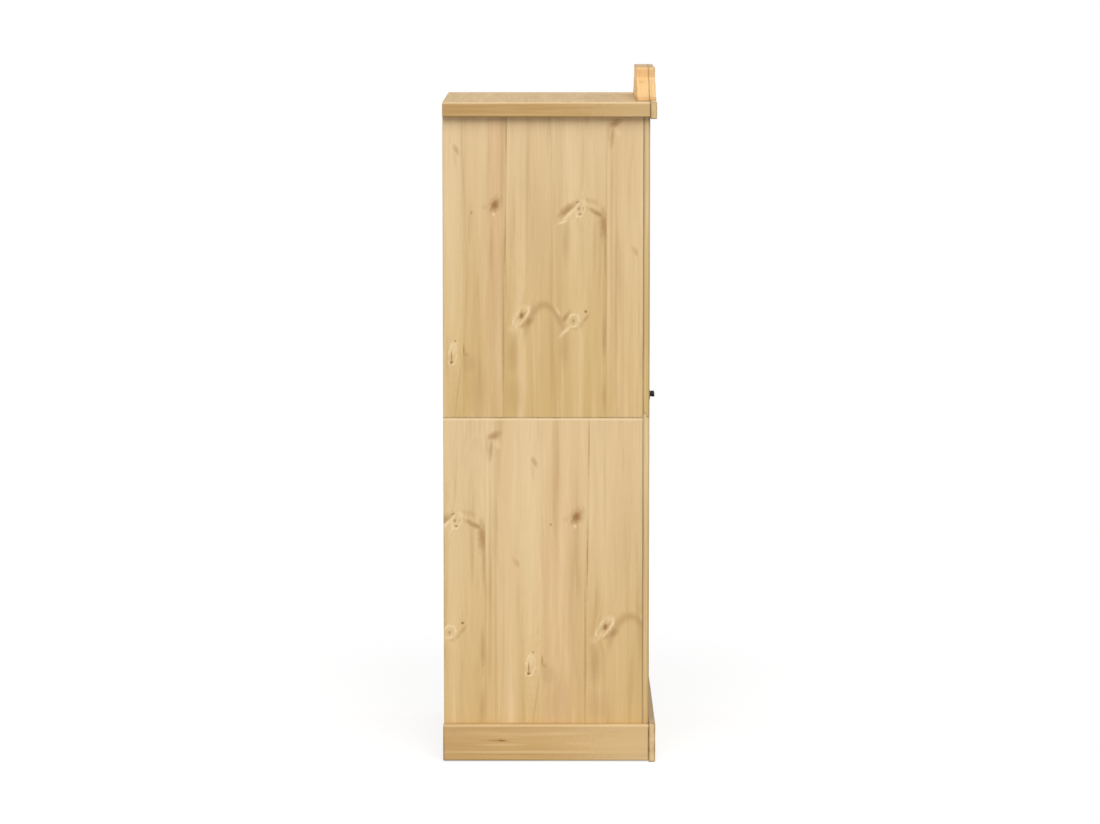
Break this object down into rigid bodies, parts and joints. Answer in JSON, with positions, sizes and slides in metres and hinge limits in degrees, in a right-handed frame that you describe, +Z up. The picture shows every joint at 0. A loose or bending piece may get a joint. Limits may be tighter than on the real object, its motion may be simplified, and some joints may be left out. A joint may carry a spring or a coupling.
{
  "type": "tall pine cupboard",
  "caption": "Tall narrow pine cupboard with a pair of inset panelled doors, split side panels, plinth, cornice and a curved crest board above the front.",
  "frame": {"origin": "centre of the footprint of the overall box, on the floor", "axes": "+Z up, the doors face -Y, X along the front"},
  "size_m": [0.636, 0.525, 1.7],
  "materials": {
    "pine": "waxed knotty pine boards",
    "pine_trim": "waxed pine mouldings, slightly deeper in tone",
    "back_board": "thin unfinished board",
    "black_iron": "black, satin",
    "hinge_steel": "blackened",
    "screw_steel": "zinc plated",
    "catch_plastic": "moulded"
  },
  "bodies": {
    "carcass": {"side_panel_lower_left": "pine", "side_panel_lower_right": "pine", "side_panel_upper_left": "pine", "side_panel_upper_right": "pine", "stile_lower_left": "pine", "stile_lower_right": "pine", "stile_upper_left": "pine", "stile_upper_right": "pine", "top_rail": "pine", "bottom_rail": "pine", "top_board": "pine", "bottom_board": "pine", "middle_shelf": "pine", "lower_shelf": "pine", "upper_shelf": "pine", "back_panel_lower": "back_board", "back_panel_upper": "back_board", "wall_rail": "pine", "cornice_side_left": "pine_trim", "cornice_side_right": "pine_trim", "cornice_front": "pine_trim", "crest_back": "pine_trim", "crest_front": "pine_trim", "plinth_side_left": "pine_trim", "plinth_side_right": "pine_trim", "plinth_front": "pine_trim", "seam_cleats": "pine", "bottom_cleats": "pine", "cleat_screws": "screw_steel", "shelf_pegs": "screw_steel", "door_catches": "catch_plastic", "hinge_frame_leaves": "hinge_steel", "hinge_pins": "hinge_steel", "hinge_frame_screws": "screw_steel"},
    "left_door": {"left_door_hinge_stile": "pine", "left_door_lock_stile": "pine", "left_door_top_rail": "pine", "left_door_middle_rail": "pine", "left_door_bottom_rail": "pine", "left_door_upper_panel": "pine", "left_door_lower_panel": "pine", "left_door_rosette": "black_iron", "left_door_knob": "black_iron", "left_door_knob_screw": "screw_steel", "left_door_hinge_leaves": "hinge_steel", "left_door_hinge_screws": "screw_steel", "left_door_strike": "hinge_steel"},
    "right_door": {"right_door_hinge_stile": "pine", "right_door_lock_stile": "pine", "right_door_top_rail": "pine", "right_door_middle_rail": "pine", "right_door_bottom_rail": "pine", "right_door_upper_panel": "pine", "right_door_lower_panel": "pine", "right_door_rosette": "black_iron", "right_door_knob": "black_iron", "right_door_knob_screw": "screw_steel", "right_door_hinge_leaves": "hinge_steel", "right_door_hinge_screws": "screw_steel", "right_door_strike": "hinge_steel"}
  },
  "joints": [
    {"name": "left_door_hinge", "type": "hinge", "parent": "carcass", "child": "left_door", "pos_m": [-0.254, -0.2425, 0.8315], "axis": [0, 0, -1], "range_deg": [0, 110]},
    {"name": "right_door_hinge", "type": "hinge", "parent": "carcass", "child": "right_door", "pos_m": [0.254, -0.2425, 0.8315], "axis": [0, 0, 1], "range_deg": [0, 110]}
  ]
}
